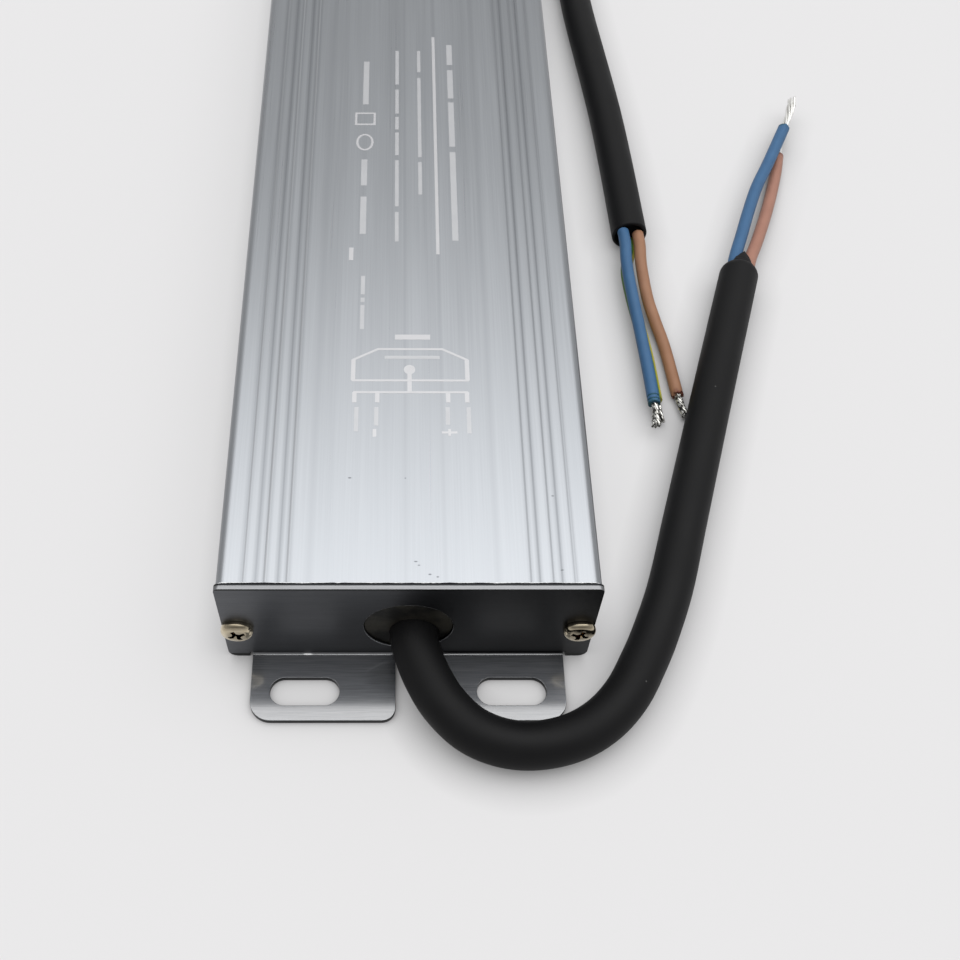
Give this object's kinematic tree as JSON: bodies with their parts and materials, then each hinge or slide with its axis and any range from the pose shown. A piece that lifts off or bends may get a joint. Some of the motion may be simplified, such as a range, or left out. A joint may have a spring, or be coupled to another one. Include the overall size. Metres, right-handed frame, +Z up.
{
  "type": "slim waterproof power supply",
  "caption": "Slim potted power supply in a grooved extruded housing with slotted mounting tabs and a cable out of each end.",
  "frame": {"origin": "middle of the underside of the body, on the mounting surface, the cables left out", "axes": "+Z up off the mounting surface, Y along the body with the output end towards -Y, X across the body"},
  "size_m": [0.1362, 0.2711, 0.026],
  "materials": {
    "drawn_aluminium": "drawn extrusion, clear anodised, satin",
    "brushed_sheet": "fine straight brushing, satin",
    "black_rubber": "smooth matte",
    "nickel_steel": "nickel plated, slightly warm",
    "grey_compound": "cast silicone, matte",
    "board_laminate": "green solder mask",
    "fuse_ceramic": "glazed ceramic with plated caps",
    "brass_spring": "tinned brass",
    "blue_lacquer": "dipped epoxy",
    "green_lacquer": "dipped epoxy",
    "yellow_box": "moulded polypropylene",
    "dark_ferrite": "sintered ferrite",
    "enamelled_copper": "enamelled copper wire",
    "black_moulding": "moulded epoxy",
    "blue_sleeve": "shrunk sleeve",
    "tan_moulding": "moulded former",
    "yellow_tape": "polyester tape over wire",
    "tin_plate": "tin plated",
    "grey_pad": "silicone pad",
    "white_moulding": "moulded epoxy",
    "olive_core": "coated powder iron",
    "green_sleeve": "shrunk sleeve",
    "cable_rubber": "smooth satin rubber sheath",
    "blue_insulation": "soft extruded insulation",
    "brown_insulation": "soft extruded insulation",
    "earth_insulation": "soft extruded insulation, yellow and green",
    "tinned_copper": "tinned stranded copper"
  },
  "bodies": {
    "root": {"housing": "drawn_aluminium", "output_end_plate": "brushed_sheet", "input_end_plate": "brushed_sheet", "output_gasket": "black_rubber", "input_gasket": "black_rubber", "output_gland_seal": "black_rubber", "input_gland_seal": "black_rubber", "output_end_screws": "nickel_steel", "input_end_screws": "nickel_steel", "potting_layer": "grey_compound", "circuit_board": "board_laminate", "fuse": "fuse_ceramic", "fuse_clips": "brass_spring", "varistor": "blue_lacquer", "thermistor": "green_lacquer", "interference_capacitor": "yellow_box", "choke_core": "dark_ferrite", "choke_windings": "enamelled_copper", "safety_capacitors": "blue_lacquer", "bridge_rectifier": "black_moulding", "storage_capacitors": "blue_sleeve", "transformer_core": "dark_ferrite", "transformer_former": "tan_moulding", "transformer_winding": "yellow_tape", "transformer_pins": "tin_plate", "power_transistors": "black_moulding", "transistor_pads": "grey_pad", "primary_heat_spreader": "drawn_aluminium", "output_rectifiers": "black_moulding", "rectifier_pads": "grey_pad", "secondary_heat_spreader": "drawn_aluminium", "control_chip": "black_moulding", "optocoupler": "white_moulding", "output_inductor_core": "olive_core", "output_inductor_winding": "enamelled_copper", "output_capacitors": "green_sleeve", "output_inner_leads": "brown_insulation", "input_inner_leads": "blue_insulation", "output_cable_jacket": "cable_rubber", "output_blue_core": "blue_insulation", "output_brown_core": "brown_insulation", "output_tinned_ends": "tinned_copper", "input_cable_jacket": "cable_rubber", "input_blue_core": "blue_insulation", "input_brown_core": "brown_insulation", "input_earth_core": "earth_insulation", "input_tinned_ends": "tinned_copper"}
  },
  "joints": []
}
